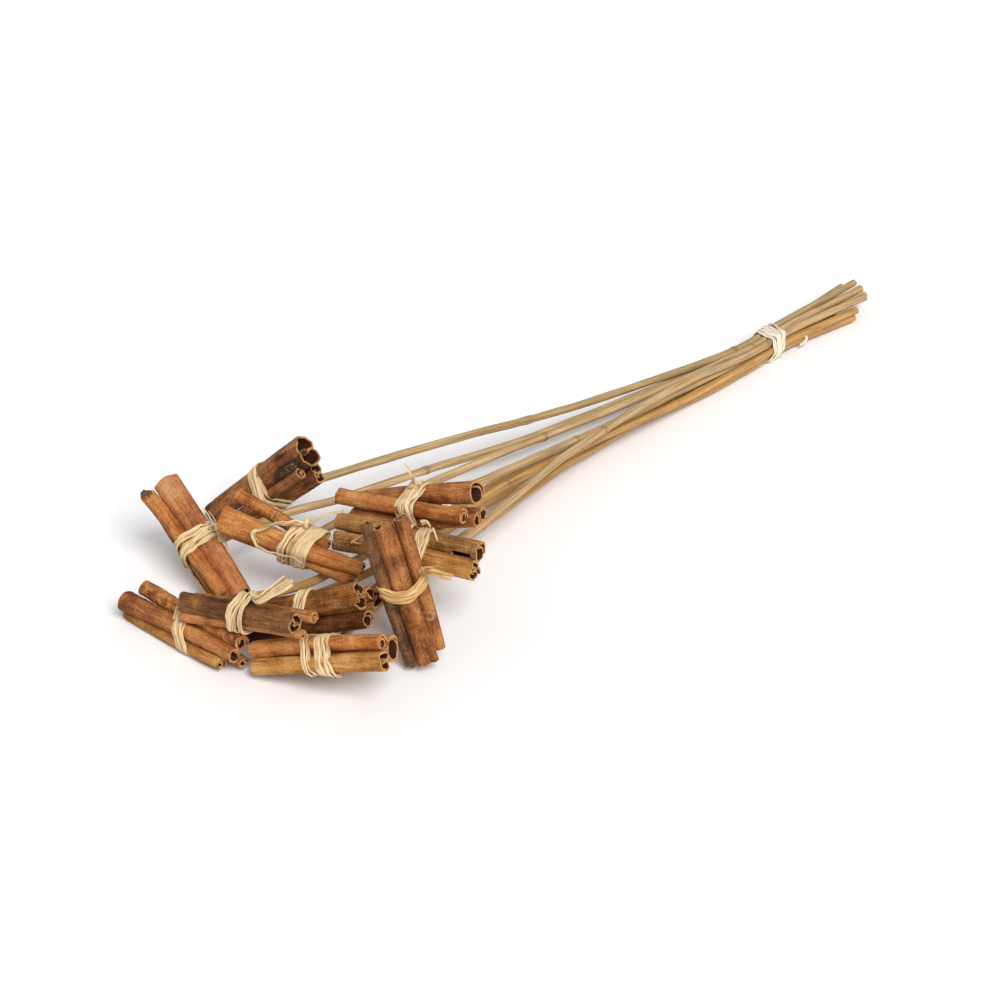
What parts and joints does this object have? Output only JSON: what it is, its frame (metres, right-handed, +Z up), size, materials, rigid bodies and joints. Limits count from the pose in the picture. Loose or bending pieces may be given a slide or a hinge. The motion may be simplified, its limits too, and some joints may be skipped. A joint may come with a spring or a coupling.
{
  "type": "tied bunch of cinnamon stick picks",
  "caption": "Bunch of long reed picks tied near their ends; each carries a crosswise bundle of rolled cinnamon bark quills bound with raffia.",
  "frame": {"origin": "on the surface that the bunch rests on, under the middle of its bounding box", "axes": "+Z up; +X from the quill bundles towards the free ends of the stems; +Y to the left of that"},
  "size_m": [0.5457, 0.2046, 0.0754],
  "materials": {
    "dark_bark": "dried bark, dark brown, matt",
    "red_bark": "dried bark, red-brown, matt",
    "orange_bark": "dried bark, light orange-brown, matt",
    "olive_bark": "dried bark, grey-olive brown, matt",
    "pale_reed": "dried reed stem, pale straw, faint sheen",
    "gold_reed": "dried reed stem, golden, faint sheen",
    "raffia": "split palm leaf, cream, satin",
    "pale_raffia": "split palm leaf, off-white, satin"
  },
  "bodies": {
    "root": {"quill_A1": "dark_bark", "quill_A2": "dark_bark", "quill_A3": "dark_bark", "stem_A": "pale_reed", "raffia_tie_A": "raffia", "quill_B1": "orange_bark", "quill_B2": "red_bark", "quill_B3": "orange_bark", "stem_B": "pale_reed", "raffia_tie_B": "raffia", "quill_C1": "orange_bark", "quill_C2": "orange_bark", "quill_C3": "orange_bark", "stem_C": "pale_reed", "raffia_tie_C": "raffia", "quill_D1": "red_bark", "quill_D2": "orange_bark", "quill_D3": "red_bark", "stem_D": "pale_reed", "raffia_tie_D": "raffia", "quill_E1": "olive_bark", "quill_E2": "olive_bark", "quill_E3": "red_bark", "stem_E": "gold_reed", "raffia_tie_E": "raffia", "quill_F1": "dark_bark", "quill_F2": "red_bark", "quill_F3": "red_bark", "quill_F4": "dark_bark", "stem_F": "pale_reed", "raffia_tie_F": "raffia", "quill_G1": "red_bark", "quill_G2": "orange_bark", "quill_G3": "orange_bark", "quill_G4": "red_bark", "stem_G": "gold_reed", "raffia_tie_G": "raffia", "quill_H1": "dark_bark", "quill_H2": "red_bark", "quill_H3": "orange_bark", "stem_H": "gold_reed", "raffia_tie_H": "raffia", "quill_I1": "dark_bark", "quill_I2": "red_bark", "quill_I3": "red_bark", "quill_I4": "dark_bark", "stem_I": "gold_reed", "raffia_tie_I": "raffia", "quill_J1": "orange_bark", "quill_J2": "orange_bark", "quill_J3": "orange_bark", "stem_J": "gold_reed", "raffia_tie_J": "raffia", "raffia_tie_stems": "pale_raffia"}
  },
  "joints": []
}
